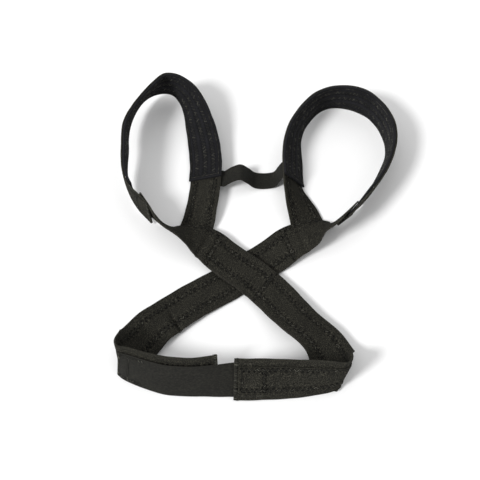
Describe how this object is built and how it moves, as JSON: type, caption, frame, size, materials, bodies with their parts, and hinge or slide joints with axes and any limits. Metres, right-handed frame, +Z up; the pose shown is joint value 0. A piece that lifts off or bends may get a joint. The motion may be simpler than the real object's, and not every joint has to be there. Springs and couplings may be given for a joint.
{
  "type": "posture corrector",
  "caption": "Figure-eight posture corrector harness of sewn webbing with two padded shoulder loops, crossed back straps, a waist belt and a neck strap, lying open.",
  "frame": {"origin": "centre of the bounding box in plan, on the surface the harness lies on", "axes": "+Z up, +Y from the waist belt towards the shoulder loops, +X to the viewer's right"},
  "size_m": [0.3378, 0.4554, 0.0572],
  "materials": {
    "webbing": "dark grey heathered woven webbing, matte",
    "lining": "near black brushed padded lining with zigzag quilting",
    "elastic": "dark grey smooth woven elastic, matte",
    "hook_tape": "black hook fastening tape"
  },
  "bodies": {
    "root": {"shoulder_strap_left": "webbing", "shoulder_pad_left": "lining", "arm_hook_patch_left": "hook_tape", "cross_strap_left": "webbing", "stay_band_left": "webbing", "shoulder_strap_right": "webbing", "shoulder_pad_right": "lining", "arm_hook_patch_right": "hook_tape", "cross_strap_right": "webbing", "stay_band_right": "webbing", "belt_elastic": "elastic", "belt_hook_patch": "hook_tape", "neck_strap": "elastic"}
  },
  "joints": []
}
